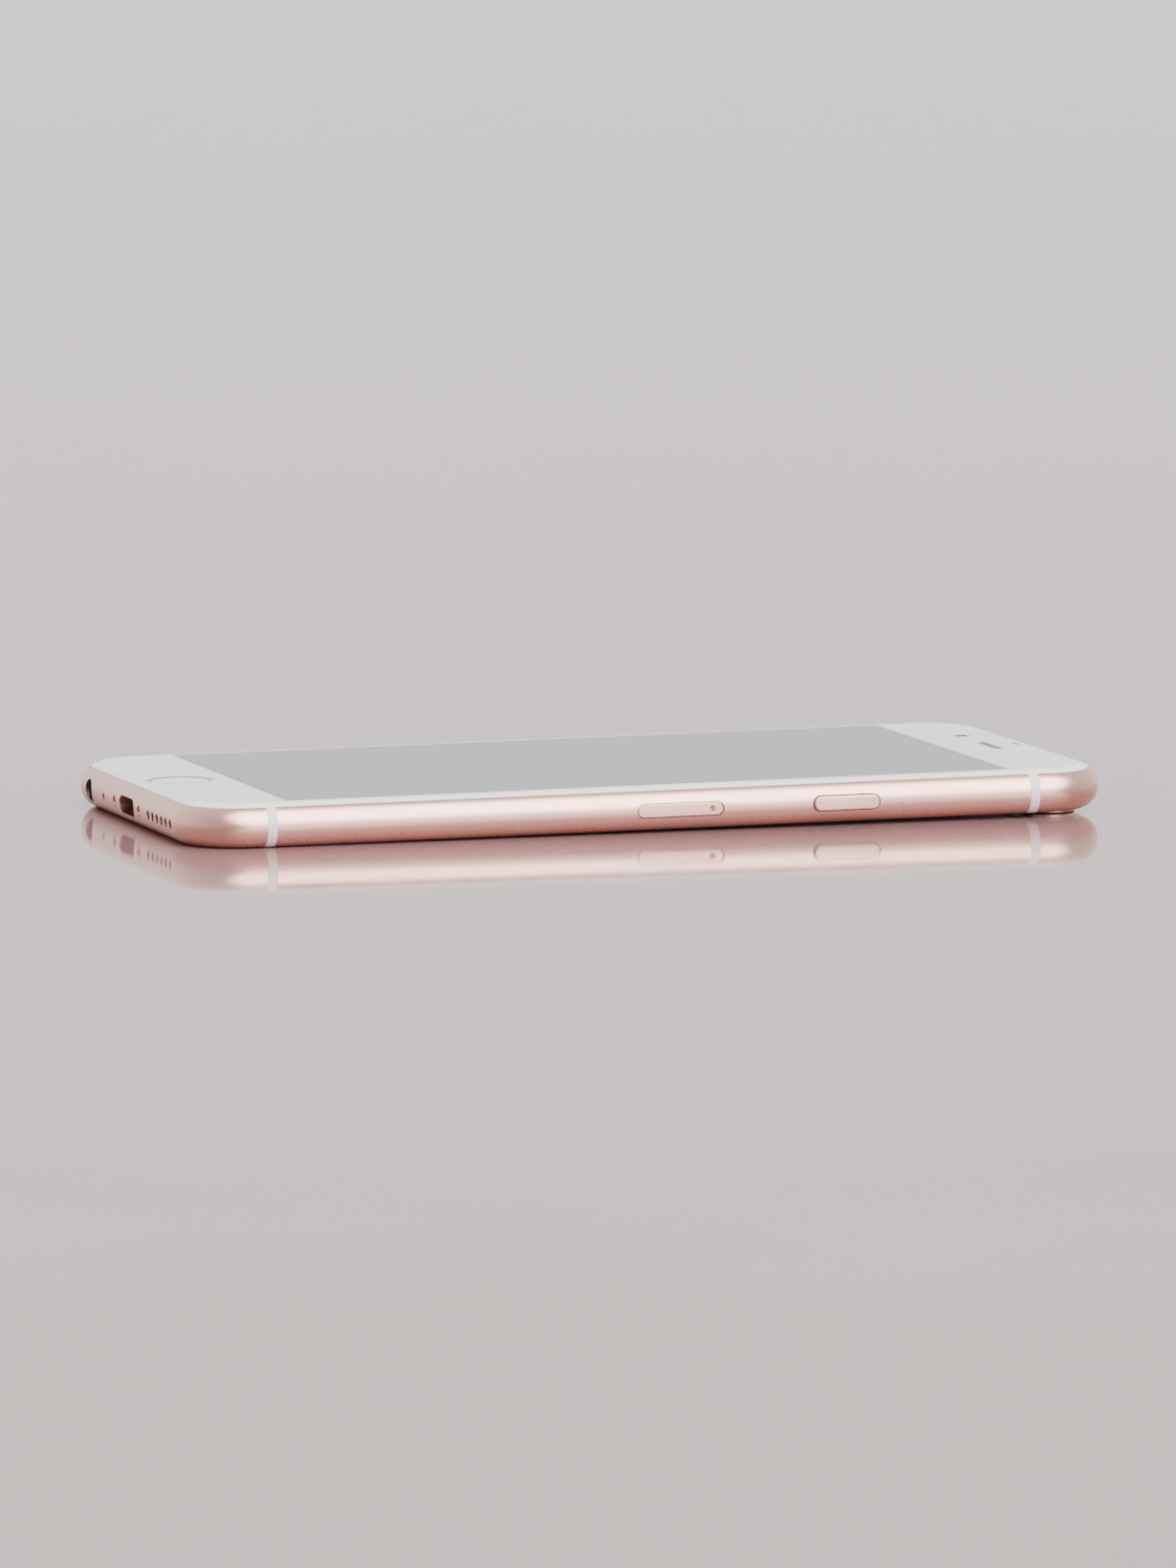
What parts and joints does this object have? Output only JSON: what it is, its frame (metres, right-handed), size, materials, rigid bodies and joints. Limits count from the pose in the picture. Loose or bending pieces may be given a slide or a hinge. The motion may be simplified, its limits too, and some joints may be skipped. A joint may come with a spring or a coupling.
{
  "type": "smartphone",
  "caption": "Slim slab smartphone with a round home button under the screen, side keys, a SIM drawer and a raised rear camera ring.",
  "frame": {"origin": "middle of the footprint, in the plane of the rear camera ring's face, which is the lowest face; the flat back is 0.8 mm above it", "axes": "+X towards the phone's right side as its user sees the screen, +Y towards the end with the earpiece, +Z out of the screen"},
  "size_m": [0.0786, 0.1582, 0.0081],
  "materials": {
    "rose_metal": "satin anodised, rose gold",
    "band_plastic": "smooth off-white antenna plastic",
    "front_glass": "polished, painted white behind outside the screen",
    "home_glass": "polished white",
    "lens_glass": "polished, dark",
    "flash_diffuser": "ribbed, pale yellow",
    "black_plastic": "fine moulded black",
    "display_stack": "glossy black, switched off",
    "steel": "stamped sheet",
    "steel_mesh": "fine dark woven mesh",
    "screw_metal": "rose gold plated",
    "seal_rubber": "soft black",
    "battery_foil": "black laminate pouch",
    "board": "dark green solder mask",
    "white_film": "smooth white",
    "flex_film": "amber flexible circuit",
    "coax_jacket": "smooth grey jacket"
  },
  "bodies": {
    "phone": {"rear_case": "rose_metal", "case_top_end": "rose_metal", "case_bottom_end": "rose_metal", "antenna_band_top": "band_plastic", "antenna_band_bottom": "band_plastic", "cover_glass": "front_glass", "display_frame": "black_plastic", "display_panel": "display_stack", "display_shield": "steel", "earpiece_mesh": "steel_mesh", "earpiece_speaker": "black_plastic", "front_camera": "black_plastic", "proximity_sensor": "black_plastic", "home_button_ring": "rose_metal", "home_button_gasket": "seal_rubber", "home_button_switch": "black_plastic", "home_button_bracket": "steel", "side_switch": "black_plastic", "side_key_bracket": "steel", "volume_up_switch": "black_plastic", "volume_down_switch": "black_plastic", "volume_key_bracket": "steel", "mute_switch_housing": "black_plastic", "sim_reader": "steel", "charge_port_shell": "steel", "charge_port_tongue": "black_plastic", "headphone_jack": "black_plastic", "bottom_microphone": "steel", "speaker_mesh": "steel_mesh", "loudspeaker": "black_plastic", "bottom_screw_left": "screw_metal", "bottom_screw_right": "screw_metal", "camera_ring": "rose_metal", "camera_lens_cover": "lens_glass", "rear_camera_module": "black_plastic", "flash_lens": "flash_diffuser", "rear_microphone": "steel_mesh", "battery": "battery_foil", "battery_tape_left": "white_film", "battery_tape_right": "white_film", "logic_board": "board", "board_screw_1": "steel", "board_screw_2": "steel", "processor_shield": "steel", "radio_shield": "steel", "display_connectors": "black_plastic", "connector_cover": "steel", "display_flex": "flex_film", "vibration_motor": "steel", "dock_flex": "flex_film", "antenna_coax": "coax_jacket"},
    "home_button": {"home_button_cap": "home_glass", "home_button_carrier": "black_plastic"},
    "side_button": {"side_key": "rose_metal"},
    "volume_up_button": {"volume_up_key": "rose_metal"},
    "volume_down_button": {"volume_down_key": "rose_metal"},
    "mute_switch": {"mute_slider": "rose_metal"},
    "sim_drawer": {"sim_tray": "rose_metal", "sim_tray_seal": "seal_rubber", "sim_card": "white_film"}
  },
  "joints": [
    {"name": "home_button_press", "type": "slide", "parent": "phone", "child": "home_button", "axis": [0, 0, -1], "range_m": [0, 0.0003], "stiffness_N_per_m": 300, "springref_m": -0.0002},
    {"name": "side_key_press", "type": "slide", "parent": "phone", "child": "side_button", "axis": [-1, 0, 0], "range_m": [0, 0.0003], "stiffness_N_per_m": 300, "springref_m": -0.0002},
    {"name": "volume_up_press", "type": "slide", "parent": "phone", "child": "volume_up_button", "axis": [1, 0, 0], "range_m": [0, 0.0003], "stiffness_N_per_m": 300, "springref_m": -0.0002},
    {"name": "volume_down_press", "type": "slide", "parent": "phone", "child": "volume_down_button", "axis": [1, 0, 0], "range_m": [0, 0.0003], "stiffness_N_per_m": 300, "springref_m": -0.0002},
    {"name": "mute_slide", "type": "slide", "parent": "phone", "child": "mute_switch", "axis": [0, 0, -1], "range_m": [0, 0.0011]},
    {"name": "sim_tray_slide", "type": "slide", "parent": "phone", "child": "sim_drawer", "axis": [1, 0, 0], "range_m": [0, 0.022]}
  ]
}
